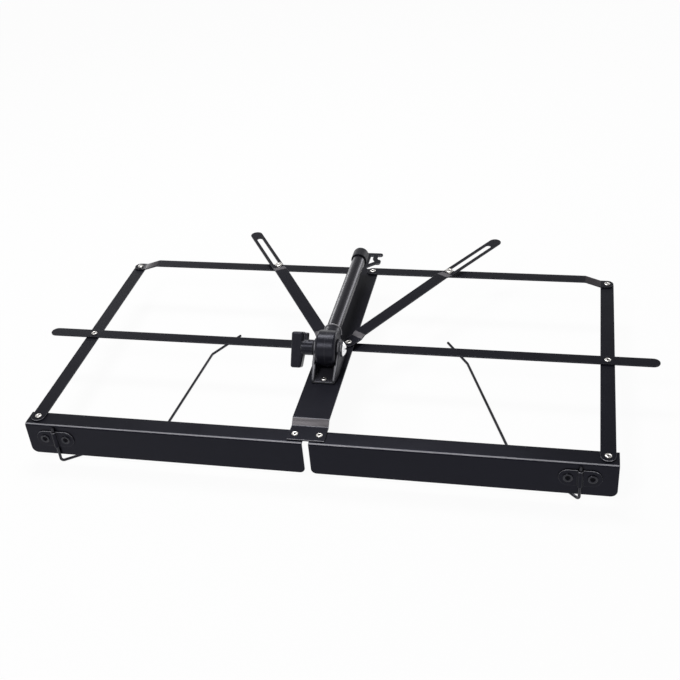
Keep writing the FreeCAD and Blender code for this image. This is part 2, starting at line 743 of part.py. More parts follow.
def clamp_bracket():
    side_outline = [
        (BRACKET_FRONT, SPINE_TOP),
        (BRACKET_BACK, SPINE_TOP),
        (BRACKET_BACK, f"{FLOOR_TOP} + bracket_heel"),
        ("bolt_distance + boss_diameter / 2", BOLT_Z),
        ("bolt_distance - boss_diameter / 2", BOLT_Z),
        (BRACKET_FRONT, f"{FLOOR_TOP} + bracket_toe"),
    ]
    walls = slab("bracket_walls", SIDE_ON, side_outline, f"2 * {CHEEK_OUT}")
    boss = rod_x("bracket_boss", "boss_diameter / 2", f"-{CHEEK_OUT}", CHEEK_OUT, "bolt_distance", BOLT_Z)
    seat = rod_x("bracket_head_seat", "head_seat_diameter / 2", "0", HEAD_START, "bolt_distance", BOLT_Z)
    height = (FLOOR_TOP, f"{BOLT_Z} + drum_diameter")
    well = block("bracket_well", (f"-{CHEEK_IN}", CHEEK_IN),
                 (f"{DRUM_FRONT} - cheek_play", f"2 * {BRACKET_BACK}"), height)
    nose_half = "bracket_nose / 2 - bracket_nose_wall"
    nose_well = block("bracket_nose_well", (f"-({nose_half})", nose_half), ("0", "bolt_distance"), height)
    trims = []
    for index, sign in enumerate((-1, 1)):
        sketch = document.addObject("Sketcher::SketchObject", f"bracket_trim_outline_{index}")
        draw(sketch, [
            (f"{sign} * bracket_nose / 2", f"{BRACKET_FRONT} - cheek"),
            (f"{sign} * bracket_nose / 2", BRACKET_FRONT),
            (f"{sign} * {CHEEK_OUT}", DRUM_FRONT),
            (f"{sign} * ({CHEEK_OUT} + cheek)", DRUM_FRONT),
            (f"{sign} * ({CHEEK_OUT} + cheek)", f"{BRACKET_FRONT} - cheek"),
        ])
        trim = document.addObject("Part::Extrusion", f"bracket_trim_{index}")
        trim.Base = sketch
        trim.DirMode = "Custom"
        trim.Dir = FreeCAD.Vector(0, 0, 1)
        trim.Solid = True
        trims.append(tie(trim, LengthFwd=f"{BOLT_Z} + drum_diameter"))
    bolt_hole = rod_x("bracket_bolt_hole", "bolt_diameter / 2", f"-2 * {CHEEK_OUT}", f"2 * {CHEEK_OUT}",
                      "bolt_distance", BOLT_Z)
    holes = [
        disc(f"bracket_hole_{index}", RIVET_HOLE, "0", y, "joggle_rise", f"{FLOOR_TOP} + bracket_floor")
        for index, y in enumerate((FRONT_RIVET, REAR_RIVET))
    ]
    blank = fuse("bracket_blank", walls, boss, seat)
    finish(cut("bracket", blank, well, nose_well, *trims, bolt_hole, *holes), "clamp_bracket")
    pair = [
        rivet(f"bracket_rivet_{index}", "0", y, "joggle_rise", FLOOR_TOP)
        for index, y in enumerate((FRONT_RIVET, REAR_RIVET))
    ]
    finish(group("bracket_pair", *pair), "clamp_bracket_rivets")


def rounded_disc(name, radius, width, edge):
    """A disc about x whose rims are rounded, as a turned profile."""
    body = document.addObject("PartDesign::Body", name)
    planes = {plane.Role: plane for plane in body.Origin.OriginFeatures if plane.Role.endswith("Plane")}
    ring = body.newObject("Sketcher::SketchObject", f"{name}_ring")
    ring.AttachmentSupport = [(planes["YZ_Plane"], "")]
    ring.MapMode = "FlatFace"
    ring.addGeometry(Part.Circle(FreeCAD.Vector(), FreeCAD.Vector(0, 0, 1), measure(radius)), False)
    ring.addConstraint(Sketcher.Constraint("Coincident", 0, 3, -1, 1))
    size = ring.addConstraint(Sketcher.Constraint("Radius", 0, measure(radius)))
    ring.setExpression(f"Constraints[{size}]", formula(radius))
    pad = body.newObject("PartDesign::Pad", f"{name}_pad")
    pad.Profile = ring
    pad.SideType = "Symmetric"
    tie(pad, Length=width)
    document.recompute()
    rims = [
        f"Edge{number}" for number, rim in enumerate(pad.Shape.Edges, start=1)
        if rim.BoundBox.XLength < 1e-4
    ]
    fillet = body.newObject("PartDesign::Fillet", f"{name}_rims")
    fillet.Base = (pad, rims)
    tie(fillet, Radius=edge)
    document.recompute()
    return body


def tube_socket():
    drum = rounded_disc("socket_drum", "drum_diameter / 2", "drum_width", "drum_edge")
    put(drum, "0", "bolt_distance", BOLT_Z)
    collar = rod_y("socket_collar", "collar_diameter / 2", "bolt_distance", COLLAR_END, "0", TUBE_Z)
    seat = rod_y("socket_seat", "tube_diameter / 2", TUBE_START, f"{COLLAR_END} + cheek", "0", TUBE_Z)
    bore = rod_x("socket_bore", BOLT_HOLE, "-drum_width", "drum_width", "bolt_distance", BOLT_Z)
    finish(cut("socket", fuse("socket_blank", drum, collar), seat, bore), "tube_socket")


def support_tube():
    outside = rod_y("tube_outside", "tube_diameter / 2", TUBE_START, TUBE_END, "0", TUBE_Z)
    inside = rod_y("tube_inside", "tube_diameter / 2 - tube_wall", TUBE_START, TUBE_END, "0", TUBE_Z)
    finish(cut("tube", outside, inside), "support_tube")


def end_cap():
    mouth = f"{CAP_END} - cap_length"
    sleeve = rod_y("cap_sleeve", "cap_diameter / 2", mouth, f"{CAP_END} - cap_edge", "0", TUBE_Z)
    tip = cone("cap_tip", "cap_diameter / 2", "cap_diameter / 2 - cap_edge", "cap_edge")
    put(tip, "0", f"{CAP_END} - cap_edge", TUBE_Z, ALONG_Y)
    seat = rod_y("cap_seat", "tube_diameter / 2", f"{mouth} - cap_edge", TUBE_END, "0", TUBE_Z)
    finish(cut("cap", fuse("cap_blank", sleeve, tip), seat), "end_cap")


def tilt_bolt():
    reach = f"{WING_START} + bolt_tail"
    shank = rod_x("bolt_shank", "bolt_diameter / 2", f"-({reach})", HEAD_START, "bolt_distance", BOLT_Z)
    ball_radius = "((dome_diameter / 2) ^ 2 + dome_height ^ 2) / (2 * dome_height)"
    ball = tie(document.addObject("Part::Sphere", "bolt_ball"), Radius=ball_radius)
    put(ball, f"{HEAD_START} + dome_height - {ball_radius}", "bolt_distance", BOLT_Z)
    rim = rod_x("bolt_rim", "dome_diameter / 2", HEAD_START, f"{HEAD_START} + 2 * dome_height",
                "bolt_distance", BOLT_Z)
    finish(fuse("bolt", shank, common("bolt_dome", ball, rim)), "tilt_bolt")


def knob_washer():
    ring = rod_x("washer_ring", "washer_diameter / 2", f"-{KNOB_START}", f"-{CHEEK_OUT}",
                 "bolt_distance", BOLT_Z)
    hole = rod_x("washer_hole", "bolt_diameter / 2", f"-2 * {KNOB_START}", "0", "bolt_distance", BOLT_Z)
    finish(cut("washer", ring, hole), "knob_washer")


def wing_knob():
    body = document.addObject("PartDesign::Body", "knob_wing")
    planes = {plane.Role: plane for plane in body.Origin.OriginFeatures if plane.Role.endswith("Plane")}
    face = body.newObject("Sketcher::SketchObject", "knob_wing_face")
    face.AttachmentSupport = [(planes["XZ_Plane"], "")]
    face.MapMode = "FlatFace"
    draw(face, [
        (f"-{WING_START}", "-knob_boss_diameter / 2"),
        (f"-{WING_START}", "wing_upper_arm"),
        (f"-{WING_FAR}", "wing_upper_arm"),
        (f"-{WING_FAR}", "-wing_lower_arm"),
        (f"-{WING_FAR} + wing_end_depth", "-wing_lower_arm"),
    ])
    pad = body.newObject("PartDesign::Pad", "knob_wing_pad")
    pad.Profile = face
    pad.SideType = "Symmetric"
    tie(pad, Length="wing_thickness")
    document.recompute()
    fillet = body.newObject("PartDesign::Fillet", "knob_wing_edges")
    fillet.Base = (pad, [f"Edge{number}" for number in range(1, len(pad.Shape.Edges) + 1)])
    tie(fillet, Radius="wing_edge")
    lug_face = body.newObject("Sketcher::SketchObject", "knob_lug_face")
    lug_face.AttachmentSupport = [(planes["XZ_Plane"], "")]
    lug_face.MapMode = "FlatFace"
    draw(lug_face, [
        (f"-{WING_START} - wing_edge", "knob_boss_diameter / 4"),
        (f"-{WING_START} + lug_reach", "knob_boss_diameter / 4"),
        (f"-{WING_START} + lug_reach", "wing_upper_arm - lug_drop"),
        (f"-{WING_START} - wing_edge", "wing_upper_arm - lug_drop"),
    ])
    lug = body.newObject("PartDesign::Pad", "knob_lug")
    lug.Profile = lug_face
    lug.SideType = "Symmetric"
    tie(lug, Length="lug_thickness")
    put(body, "0", "bolt_distance", BOLT_Z, FreeCAD.Rotation(FreeCAD.Vector(1, 0, 0), 1))
    tie(body, **{"Placement.Rotation.Angle": "-wing_turn"})
    boss = rod_x("knob_boss", "knob_boss_diameter / 2", f"-{WING_START} - wing_edge", f"-{KNOB_START}",
                 "bolt_distance", BOLT_Z)
    bore = rod_x("knob_bore", BOLT_HOLE, f"-{WING_START} - bolt_tail - cheek", "0", "bolt_distance", BOLT_Z)
    nut_start = f"-{KNOB_START} - nut_height"
    pocket = nut_blank("knob_nut_pocket", nut_start)
    finish(cut("knob", fuse("knob_blank", body, boss), bore, pocket), "wing_knob")
    nut_bore = rod_x("nut_bore", BOLT_HOLE, f"-2 * {WING_START}", "0", "bolt_distance", BOLT_Z)
    finish(cut("nut", nut_blank("nut_solid", nut_start), nut_bore), "knob_nut")


def nut_blank(name, start):
    """A hexagonal prism about the bolt."""
    item = document.addObject("Part::Prism", name)
    tie(item, Circumradius="nut_width / sqrt(3)", Height="nut_height")
    item.Polygon = 6
    return put(item, start, "bolt_distance", BOLT_Z, ALONG_X)


spine_plate()
spine_rivets()
spacer_washers()
for maker in (ledge, corner_rivet, clip, clip_rivets, page_wire):
    both(maker)
for maker in (outer_bar, cross_bar, top_bar, slide_rivet, brace):
    both(maker)
clamp_bracket()
tube_socket()
support_tube()
end_cap()
tilt_bolt()
knob_washer()
wing_knob()
document.recompute()

faults = [item.Name for item in document.Objects if {"Invalid", "Error"} & set(item.State)]
faults += [node.Label for node in nodes if node.Shape.isNull() or not node.Shape.isValid()]
if faults:
    raise RuntimeError(f"these did not build: {', '.join(faults)}")

os.makedirs("parts", exist_ok=True)
for node in nodes:
    node.Shape.exportStep(f"parts/{node.Label}.step")
    print(f"{node.Label}: {len(node.Shape.Solids)} solid(s), {node.Shape.Volume:.1f} mm3")
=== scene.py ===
"""Looks of a folding tabletop music stand: coated sheet, bright rivets, moulded clamp and studio stage."""

import json
import math

import bpy
from bpy.props import FloatProperty, FloatVectorProperty, IntProperty, PointerProperty
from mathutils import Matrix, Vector


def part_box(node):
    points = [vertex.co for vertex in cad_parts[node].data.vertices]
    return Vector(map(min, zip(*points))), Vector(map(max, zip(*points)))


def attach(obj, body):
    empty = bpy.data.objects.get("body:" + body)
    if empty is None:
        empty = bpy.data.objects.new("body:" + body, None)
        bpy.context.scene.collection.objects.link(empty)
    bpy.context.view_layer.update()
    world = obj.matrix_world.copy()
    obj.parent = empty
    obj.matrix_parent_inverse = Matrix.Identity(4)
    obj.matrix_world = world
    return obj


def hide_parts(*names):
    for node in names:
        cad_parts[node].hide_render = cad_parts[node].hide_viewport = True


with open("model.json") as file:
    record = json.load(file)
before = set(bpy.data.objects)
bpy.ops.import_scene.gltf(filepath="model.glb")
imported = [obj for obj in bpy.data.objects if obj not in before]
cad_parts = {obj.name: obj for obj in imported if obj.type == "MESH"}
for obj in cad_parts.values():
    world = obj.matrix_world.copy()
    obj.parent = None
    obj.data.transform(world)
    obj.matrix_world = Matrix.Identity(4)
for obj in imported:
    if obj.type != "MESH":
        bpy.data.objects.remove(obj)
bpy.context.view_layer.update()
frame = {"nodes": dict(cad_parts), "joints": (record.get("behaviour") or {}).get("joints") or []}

bl_info = {
    "name": "Folding Music Stand",
    "version": (1, 0, 0),
    "blender": (4, 5, 0),
    "location": "View3D > Sidebar > Music Stand",
    "description": "Dresses the folding music stand's frame with finished pieces and materials",
    "category": "Object",
}

MM = 0.001
SIDES = ("left", "right")
JOINTS = {joint["name"]: Vector(joint["pos_m"]) for joint in frame["joints"]}
LEDGE_PIVOT = (JOINTS["left_fold"] + JOINTS["right_fold"]) / 2
CAMERA_FROM_PIVOT = Vector((0.1958, -0.6285, 0.5326))
CAMERA_ANGLES = (55.873, 4.369, 11.479)
SENSOR_WIDTH = 36.0
FARTHEST_SEEN = 50.0
QUARTER_TURN = math.radians(90)

# Soft boxes: place, aim, then width and height, in metres
LIGHTS = {
    "key": ((-0.2, 0.44, 1.1), (-0.05, 0.0, 0.04), (0.6, 0.28)),
    "front": ((-0.3, -0.84, 1.1), (0.0, -0.14, 0.04), (0.35, 0.35)),
    "left_rim": ((-1.2, 1.6, 0.27), (0.0, 0.0, 0.06), (0.2, 0.5)),
    "right_rim": ((1.2, 1.6, 0.27), (0.0, 0.0, 0.06), (0.75, 0.5)),
}
LEFT_RIM_SHARE = 0.4
FLOOR_SIZE = 30.0
FLOOR_GLOW = 0.95
WHITE = (1.0, 1.0, 1.0, 1.0)

# Sines of the heights between which the studio's white wall turns into its dimmer ceiling
WALL_TOP = 0.2
CEILING_START = 0.6

# Tints of the gloss
COAT_TINT = (0.74, 0.75, 1.0, 1.0)
HIGHLIGHT_TINT = (1.0, 0.95, 1.0, 1.0)
TUBE_TINT = (0.86, 0.83, 1.0, 1.0)
PLASTIC_TINT = (0.84, 0.85, 1.0, 1.0)
LACQUER_TINT = (0.84, 0.84, 1.0, 1.0)

# How much less rough the coat is on edges and on steps, and how much rougher the bracket's plastic is
EDGE_POLISH = 0.08
STEP_POLISH = 0.06
BRACKET_DULLNESS = 0.12

# Material slots of the sheet metal, then of the clamp and of the rivets
MAIN_SLOT = 0
EDGE_SLOT = 1
STEP_HIGHLIGHT_SLOT = 2
BEND_HIGHLIGHT_SLOT = 3
CHEEK_HIGHLIGHT_SLOT = 2
EYE_SHADE_SLOT = 1

# Slopes, in degrees from level, between which the coat or the plastic takes a lighter finish: painted
# highlights
BEND_HIGHLIGHT_SLOPES = (20.0, 50.0)
STEP_HIGHLIGHT_SLOPES = (8.0, 60.0)
CHEEK_HIGHLIGHT_SLOPES = (20.0, 72.0)

# Nodes whose front edges take the light bend coat as a painted highlight, and how far such an edge faces up
# and to the front at least
HIGHLIT_FRONTS = ("spine_plate", "outer_bar", "wire_clip")
FRONT_TILT = 0.3

# Roundings of the small pieces
WASHER_EDGE = 0.2 * MM
WIRE_EDGE = 0.25 * MM
FINE_EDGE = 0.15 * MM
CAP_EDGE = 0.5 * MM

# Degrees over which a rolled rivet is smooth and a CAD face is flat, and metres under which corners merge
ROLLED_ANGLE = 50.0
FLAT_ANGLE = 0.5
MERGE_DISTANCE = 1e-6

# Rivets: shares of the radius of the tail, head or eye, with shares of the tail's height or the head's depth
RIVET_TAIL_RINGS = ((0.6, 0.0), (0.9, 0.1), (1.0, 0.4), (1.0, 0.8), (0.95, 0.98))
RIVET_HEAD_RINGS = ((0.97, 0.98), (1.0, 0.8), (0.97, 0.5), (0.86, 0.18), (0.7, 0.02), (0.57, 0.0))
RIVET_EYE_RINGS = ((1.25, 0.08), (1.0, 0.3), (0.85, 0.62), (0.4, 0.68))
COLLAR_SOFTNESS = 0.06

# How far the painted shade in an eye reaches, as a share of its radius, and how far its faces may turn down
EYE_SHADE_REACH = 1.06
EYE_FACING = -0.5

# Clip rivets: shares of the head's radius
CLIP_TAIL = 0.77
CLIP_SHANK = 0.37
CLIP_PIT = 0.48

# Ends of a clip rivet's shank, in mm above its tail and under its crest
CLIP_FOOT = 0.7
CLIP_RISE = 1.0

# Shares of the radius, with mm above the tail's face or under the head's crest
CLIP_TAIL_RINGS = ((0.6, 0.0), (0.92, 0.08), (1.0, 0.3), (1.0, 0.68))
CLIP_HEAD_RINGS = (
    (0.94, 0.99), (1.0, 0.75), (0.99, 0.5), (0.94, 0.22), (0.86, 0.05), (0.76, 0.0),
    (0.66, 0.05), (0.58, 0.22), (0.52, 0.48), (0.46, 0.66), (0.15, 0.7),
)

SHEET_NODES = {"spine_plate": "spine"}
RIVET_NODES = {
    "ledge_pivot_rivets": "spine",
    "brace_pivot_rivets": "spine",
    "top_bar_pivot_rivets": "spine",
    "clamp_bracket_rivets": "spine",
}
for side in SIDES:
    RIVET_NODES[f"{side}_corner_rivet"] = f"{side}_ledge"
    RIVET_NODES[f"{side}_outer_bar_rivets"] = f"{side}_outer_bar"
    SHEET_NODES[f"{side}_ledge"] = f"{side}_ledge"
    SHEET_NODES[f"{side}_wire_clip"] = f"{side}_ledge"
    for bar in ("outer_bar", "cross_bar", "top_bar", "brace"):
        SHEET_NODES[f"{side}_{bar}"] = f"{side}_{bar}"


# Sizes and colours that a user would change


def length(name, description, millimetres):
    return FloatProperty(name=name, description=description, default=millimetres * MM, unit="LENGTH",
                         precision=5)


def power(name, description, default):
    return FloatProperty(name=name, description=description, default=default, unit="POWER")


def share(name, description, default):
    return FloatProperty(name=name, description=description, default=default, min=0.0, max=1.0,
                         subtype="FACTOR")


def colour(name, description, default):
    return FloatVectorProperty(name=name, description=description, default=default, size=3, min=0.0, max=1.0,
                               subtype="COLOR")


class StandFinishes(bpy.types.PropertyGroup):
    """Colours and gloss of the stand's finishes"""

    coat: colour("Coat", "Colour of the powder coat on the sheet metal", (0.0034, 0.0035, 0.0062))
    # Thinner coat over the rounded edges, painted lighter as a highlight too
    coat_edge_and_highlight: colour("Coat edge", "Colour of the coat where it thins over an edge", (0.05, 0.05, 0.056))
    # Painted highlight on the sloped faces of the pressed steps
    coat_slope_highlight: colour("Coat slope", "Colour of the coat on the pressed steps", (0.024, 0.021, 0.025))
    # Painted highlight: a light line along the ledge's bend
    coat_bend_highlight: colour("Coat bend", "Colour of the coat worn thin along the ledge's bend", (0.31, 0.31, 0.34))
    # Painted highlight on the sloped faces of the braces' steps
    coat_rub_highlight: colour("Coat rub", "Colour of the coat rubbed thin on the braces' steps", (0.115, 0.11, 0.12))
    coat_roughness: share("Coat roughness", "Roughness of the powder coat", 0.33)
    tube: colour("Tube", "Colour of the glossy coat on the tube", (0.004, 0.0038, 0.006))
    tube_roughness: share("Tube roughness", "Roughness of the tube's coat", 0.27)
    plastic: colour("Plastic", "Colour of the moulded plastic", (0.012, 0.012, 0.017))
    # Scuffed edges, painted lighter as a highlight too
    plastic_edge_and_highlight: colour("Plastic edge", "Colour of the plastic where it is scuffed", (0.07, 0.07, 0.077))
    # Painted highlight on the bracket's cheeks and the collar's bead
    plastic_highlight: colour("Plastic worn", "Colour of the plastic where it is rubbed", (0.27, 0.266, 0.28))
    # Duller plastic, also painted lighter to lift the shade on the bracket's foot
    bracket: colour("Bracket", "Colour of the clamp bracket's duller plastic", (0.03, 0.029, 0.036))
    plastic_roughness: share("Plastic roughness", "Roughness of the moulded plastic", 0.31)
    rubber: colour("Rubber", "Colour of the end cap", (0.009, 0.009, 0.011))
    steel: colour("Steel", "Colour of the plated rivets", (0.78, 0.76, 0.73))
    steel_roughness: share("Steel roughness", "Roughness of the plated rivets", 0.3)
    # Painted shade inside a rivet's eye
    eye: colour("Rivet eye", "Colour inside a rivet's eye", (0.02, 0.019, 0.019))
    chrome: colour("Chrome", "Colour of the tilt bolt's head", (0.9, 0.9, 0.91))
    wire: colour("Wire", "Colour of the page wires", (0.009, 0.009, 0.011))
    black: colour("Black rivet", "Colour of the black rivets on the clips", (0.003, 0.003, 0.0045))


class StandSizes(bpy.types.PropertyGroup):
    """Sizes of the detail that the finished pieces carry"""

    sheet_edge: length("Sheet edge", "Rounding of the cut edges of the sheet metal", 0.3)
    moulded_edge: length("Moulded edge", "Rounding of the clamp's moulded edges", 0.8)
    parting_line: length("Parting line", "Half the width of the line around the drum", 0.14)
    collar: length("Collar", "Radius of the collar that holds the tube", 7.3)
    collar_bead: length("Collar bead", "Half the width of the bead on the collar's mouth", 0.7)
    grain: length("Grain", "Size of the grain in the moulded plastic", 0.5)
    peel: length("Peel", "Size of the orange peel in the powder coat", 0.8)
    rivet_sides: IntProperty(name="Rivet sides", description="Facets around a rivet", default=40, min=12)
    rivet_height: length("Rivet height", "Height of a rivet's rolled head", 0.8)
    rivet_eye: length("Rivet eye", "Radius of the eye in a rivet's head", 0.95)
    rivet_tail: length("Rivet tail", "Radius of a rivet's flattened tail", 2.3)
    rivet_foot: length("Rivet foot", "Height of a rivet's flattened tail", 0.6)
    rivet_shank: length("Rivet shank", "Radius of a rivet inside the sheets", 1.5)
    slide_stem: length("Slide stem", "Radius of a slide rivet inside the sheets", 0.9)
    slide_collar: length("Slide collar", "Radius of the collar under a brace", 2.5)
    bar_sheet: length("Bar sheet", "Thickness of the bars", 1.2)


class StandStage(bpy.types.PropertyGroup):
    """Camera and light"""

    lens: FloatProperty(name="Lens", description="Focal length for a 36 mm wide picture", default=56.0,
                        subtype="DISTANCE_CAMERA")
    camera: FloatVectorProperty(name="Camera", description="Place of the camera", size=3,
                                default=LEDGE_PIVOT + CAMERA_FROM_PIVOT, subtype="TRANSLATION")
    turn: FloatVectorProperty(name="Turn", description="Turn of the camera", size=3, subtype="EULER",
                              default=tuple(math.radians(angle) for angle in CAMERA_ANGLES))
    key: power("Key light", "Power of the soft light overhead", 8.0)
    front: power("Front light", "Power of the small light above the front", 5.0)
    rims: power("Rim lights", "Power of the brighter upright light behind the stand", 5.0)
    ambient: share("Ambient", "Level of the studio's even light", 0.22)
    ceiling: share("Ceiling", "Level of the studio's ceiling, seen in gloss", 0.25)
    floor: share("Floor", "How white the floor is", 0.9)


# Material nodes


class Signal:
    """A value between two nodes. Sums, differences and products of signals add Math nodes."""

    def __init__(self, finish, socket):
        self.finish = finish
        self.socket = socket

    def math(self, operation, first, second):
        return self.finish.node("ShaderNodeMath", {"operation": operation}, {0: first, 1: second})

    def __add__(self, other):
        return self.math("ADD", self, other)

    def __radd__(self, other):
        return self.math("ADD", other, self)

    def __sub__(self, other):
        return self.math("SUBTRACT", self, other)

    def __rsub__(self, other):
        return self.math("SUBTRACT", other, self)

    def __mul__(self, other):
        return self.math("MULTIPLY", self, other)

    def __rmul__(self, other):
        return self.math("MULTIPLY", other, self)

    def swing(self, amount):
        """A signal from 0 to 1 made to swing about 0 by that amount."""
        return amount * (self - 0.5)


class Finish:
    """A node tree, built node by node."""

    def __init__(self, owner):
        owner.use_nodes = True
        self.owner = owner
        self.tree = owner.node_tree
        self.tree.nodes.clear()

    def node(self, kind, settings=None, inputs=None, output=0):
        """Adds a node with its settings, then its values or links, and gives one of its outputs."""
        made = self.tree.nodes.new(kind)
        for key, value in (settings or {}).items():
            setattr(made, key, value)
        for key, value in (inputs or {}).items():
            if isinstance(value, Signal):
                self.tree.links.new(value.socket, made.inputs[key])
            else:
                made.inputs[key].default_value = value
        return Signal(self, made.outputs[output]) if made.outputs else None

    def noise(self, size, detail=2.0, stretch=None):
        """Noise from 0 to 1 whose lumps are about that size in metres, stretched by factors on each axis."""
        place = self.node("ShaderNodeTexCoord", output="Object")
        if stretch:
            place = self.node("ShaderNodeMapping", {}, {"Vector": place, "Scale": stretch})
        return self.node("ShaderNodeTexNoise", {}, {"Vector": place, "Scale": 1.0 / size, "Detail": detail})

    def tint(self, factor, base, dark, light):
        """A base colour between a darker and a lighter shade of it, by a factor."""
        return self.node("ShaderNodeMix", {"data_type": "RGBA"},
                         {0: factor, 6: shade(base, dark), 7: shade(base, light)}, output=2)

    def bump(self, height, strength, depth):
        return self.node("ShaderNodeBump", {}, {"Strength": strength, "Distance": depth, "Height": height})

    def surface(self, **inputs):
        """Ends the material in a Principled shader with these inputs."""
        named = {key.replace("_", " ").title().replace("Ior", "IOR"): value for key, value in inputs.items()}
        shader = self.node("ShaderNodeBsdfPrincipled", {}, named)
        self.node("ShaderNodeOutputMaterial", {}, {"Surface": shader})
        return self.owner


def shade(base, factor):
    return (*(min(1.0, channel * factor) for channel in base), 1.0)


def powder_coat(name, base, sizes, roughness):
    """Satin powder coat: fine orange peel, faint clouding and a few glossier patches."""
    finish = Finish(bpy.data.materials.new(name))
    peel = finish.noise(sizes.peel, detail=3.0)
    cloud = finish.noise(40 * sizes.peel, detail=3.0)
    colour_now = finish.tint(cloud, base, dark=0.82, light=1.22)
    gloss = roughness + cloud.swing(0.1) + peel.swing(0.08)
    return finish.surface(base_color=colour_now, roughness=gloss, specular_ior_level=0.17,
                          specular_tint=COAT_TINT, normal=finish.bump(peel, strength=0.1, depth=0.15 * MM))


def highlight_coat(name, base, sizes, roughness, specular):
    """A lighter coat, in streaks along its bend: a painted highlight on bends, steps and front edges."""
    finish = Finish(bpy.data.materials.new(name))
    streak = finish.noise(4 * sizes.peel, detail=3.0, stretch=(0.12, 1.0, 1.0))
    colour_now = finish.tint(streak, base, dark=0.6, light=1.4)
    return finish.surface(base_color=colour_now, roughness=roughness + streak.swing(0.3),
                          specular_ior_level=specular, specular_tint=HIGHLIGHT_TINT)


def tube_coat(name, base, sizes, roughness):
    """Glossier coat on drawn tube, with faint drawing lines along it."""
    finish = Finish(bpy.data.materials.new(name))
    lines = finish.noise(0.6 * sizes.peel, stretch=(1.0, 0.02, 1.0))
    cloud = finish.noise(30 * sizes.peel)
    colour_now = finish.tint(cloud, base, dark=0.85, light=1.2)
    gloss = roughness + lines.swing(0.08) + cloud.swing(0.06)
    return finish.surface(base_color=colour_now, roughness=gloss, specular_ior_level=0.4,
                          specular_tint=TUBE_TINT, normal=finish.bump(lines, strength=0.05, depth=0.1 * MM))


def moulded_plastic(name, base, sizes, roughness, specular=0.25):
    """Spark-eroded grain of a moulded part, a little worn to gloss in places."""
    finish = Finish(bpy.data.materials.new(name))
    grain = finish.noise(sizes.grain, detail=4.0)
    fine = finish.noise(0.4 * sizes.grain)
    rub = finish.noise(24 * sizes.grain, detail=3.0)
    colour_now = finish.tint(grain, base, dark=0.75, light=1.35)
    gloss = roughness + rub.swing(0.14) + grain.swing(0.1)
    return finish.surface(base_color=colour_now, roughness=gloss, specular_ior_level=specular,
                          specular_tint=PLASTIC_TINT,
                          normal=finish.bump(0.7 * grain + 0.3 * fine, strength=0.3, depth=0.2 * MM))


def plated_steel(name, base, sizes, roughness):
    """Bright zinc plate with faint clouding."""
    finish = Finish(bpy.data.materials.new(name))
    cloud = finish.noise(2.5 * sizes.peel, detail=3.0)
    scratch = finish.noise(0.25 * sizes.peel, stretch=(1.0, 0.12, 1.0))
    colour_now = finish.tint(cloud, base, dark=0.86, light=1.1)
    gloss = roughness + cloud.swing(0.16) + scratch.swing(0.08)
    return finish.surface(base_color=colour_now, roughness=gloss, metallic=1.0,
                          normal=finish.bump(scratch, strength=0.08, depth=0.05 * MM))


def eye_shade_finish(name, base, sizes):
    """Painted shade for the inside of a rolled rivet."""
    finish = Finish(bpy.data.materials.new(name))
    cloud = finish.noise(sizes.peel, detail=3.0)
    colour_now = finish.tint(cloud, base, dark=0.6, light=1.6)
    return finish.surface(base_color=colour_now, roughness=0.55 + cloud.swing(0.2), metallic=0.4,
                          specular_ior_level=0.2)


def lacquer(name, base, sizes, roughness, specular):
    """Glossy black lacquer on wire and small rivets."""
    finish = Finish(bpy.data.materials.new(name))
    cloud = finish.noise(6 * sizes.peel, detail=3.0)
    colour_now = finish.tint(cloud, base, dark=0.8, light=1.4)
    return finish.surface(base_color=colour_now, roughness=roughness + cloud.swing(0.14),
                          specular_ior_level=specular, specular_tint=LACQUER_TINT,
                          normal=finish.bump(cloud, strength=0.05, depth=0.1 * MM))


def make_finishes():
    """Every finish of the stand, by name."""
    look = bpy.context.scene.stand_finishes
    sizes = bpy.context.scene.stand_sizes
    coated = look.coat_roughness
    moulded = look.plastic_roughness
    return {
        "coat": powder_coat("powder_coat", look.coat, sizes, coated),
        # Edge coat: thinner coat and painted highlight
        "coat_edge_and_highlight": powder_coat("powder_coat_edge_and_highlight", look.coat_edge_and_highlight, sizes, coated - EDGE_POLISH),
        # Painted highlight on the pressed steps
        "coat_slope_highlight": highlight_coat("powder_coat_slope_highlight", look.coat_slope_highlight, sizes, coated - STEP_POLISH,
                                specular=0.28),
        # Painted highlight along the ledge's bend
        "coat_bend_highlight": highlight_coat("powder_coat_bend_highlight", look.coat_bend_highlight, sizes, coated, specular=0.4),
        # Painted highlight on the braces' steps
        "coat_rub_highlight": highlight_coat("powder_coat_rub_highlight", look.coat_rub_highlight, sizes, coated, specular=0.3),
        "tube": tube_coat("tube_coat", look.tube, sizes, look.tube_roughness),
        "plastic": moulded_plastic("moulded_plastic", look.plastic, sizes, moulded),
        # Scuffed plastic and painted highlight on the moulded edges
        "plastic_edge_and_highlight": moulded_plastic("scuffed_plastic_and_highlight", look.plastic_edge_and_highlight, sizes, moulded),
        # Painted highlight on the cheeks and the collar's bead
        "plastic_highlight": moulded_plastic("painted_highlight_plastic", look.plastic_highlight, sizes, moulded),
        # The bracket's plastic is painted lighter, lifting the shade on its foot
        "bracket": moulded_plastic("bracket_plastic_lightened", look.bracket, sizes, moulded + BRACKET_DULLNESS,
                                   specular=0.16),
        "rubber": moulded_plastic("cap_rubber", look.rubber, sizes, roughness=0.5),
        "steel": plated_steel("plated_steel", look.steel, sizes, look.steel_roughness),
        # Painted shade inside the rivets' eyes
        "eye": eye_shade_finish("rivet_eye", look.eye, sizes),
        "chrome": plated_steel("bolt_chrome", look.chrome, sizes, roughness=0.14),
        "wire": lacquer("lacquered_wire", look.wire, sizes, roughness=0.26, specular=0.36),
        "black": lacquer("lacquered_rivet", look.black, sizes, roughness=0.18, specular=0.45),
        # Dull lacquer that paints shade in the hollow of the clip rivets
        "pit_shade": lacquer("rivet_pit_shade", look.black, sizes, roughness=0.6, specular=0.06),
    }


# Filled by main
FINISHES = {}


# Modelling steps


